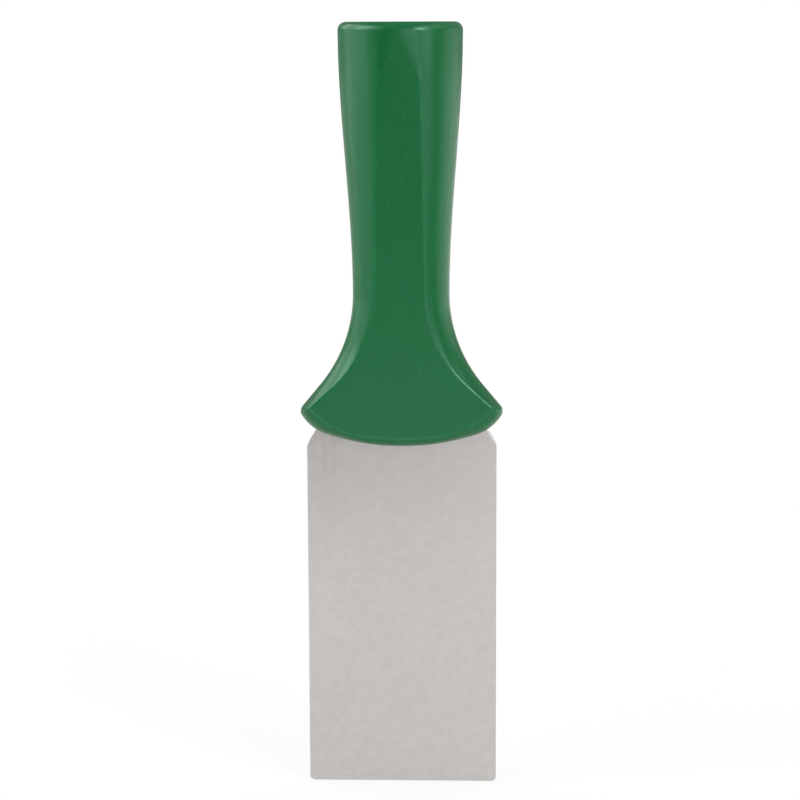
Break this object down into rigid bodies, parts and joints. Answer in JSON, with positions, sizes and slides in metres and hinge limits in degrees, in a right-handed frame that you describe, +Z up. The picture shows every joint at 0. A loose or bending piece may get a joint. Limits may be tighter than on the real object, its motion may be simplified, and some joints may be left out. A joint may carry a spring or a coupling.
{
  "type": "hand scraper",
  "caption": "Hand scraper with a flat stainless steel blade moulded into a green plastic handle, whose round end has a threaded socket for a pole.",
  "frame": {"origin": "middle of the blade's working edge, which the scraper stands on", "axes": "+X to the right along the working edge, -Y out of the front flat, +Z up the handle to its round end"},
  "size_m": [0.0536, 0.0326, 0.204],
  "materials": {
    "green_plastic": "moulded polypropylene with a low, even sheen",
    "stainless_steel": "fine satin faces, deburred edges and a ground working edge"
  },
  "bodies": {
    "root": {"handle": "green_plastic", "blade": "stainless_steel"}
  },
  "joints": []
}
